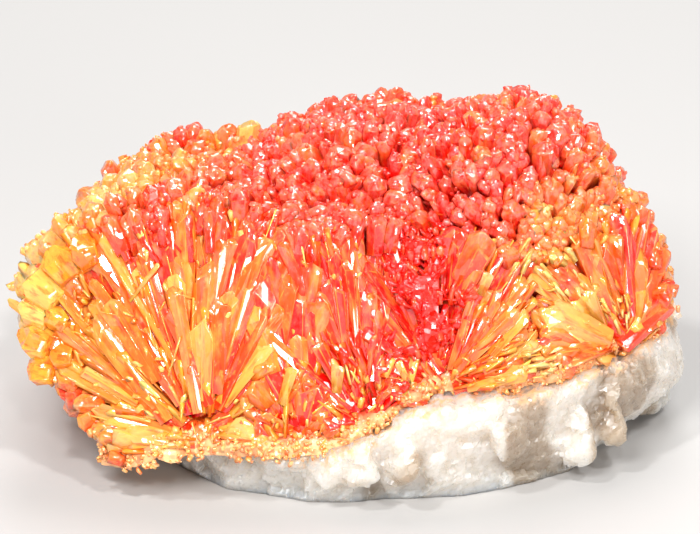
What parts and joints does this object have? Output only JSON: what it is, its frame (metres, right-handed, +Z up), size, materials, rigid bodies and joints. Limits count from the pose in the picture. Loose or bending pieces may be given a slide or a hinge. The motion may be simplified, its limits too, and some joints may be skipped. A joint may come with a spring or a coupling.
{
  "type": "orpiment crystal specimen",
  "caption": "Small mineral specimen: radiating fans of translucent red and orange orpiment crystals grown over a lump of white calcite that it rests on.",
  "frame": {"origin": "On the surface the specimen rests on, under the middle of its bounding box.", "axes": "+X runs along the specimen to the right as seen from its broken front face, +Y points to the back, +Z is up."},
  "size_m": [0.04, 0.0262, 0.0202],
  "materials": {
    "calcite": "rough translucent white cleavage blocks with greyish patches",
    "orpiment": "translucent, resinous to glassy, deep red to orange and yellow"
  },
  "bodies": {
    "root": {"calcite_matrix": "calcite", "orpiment_crystals": "orpiment"}
  },
  "joints": []
}
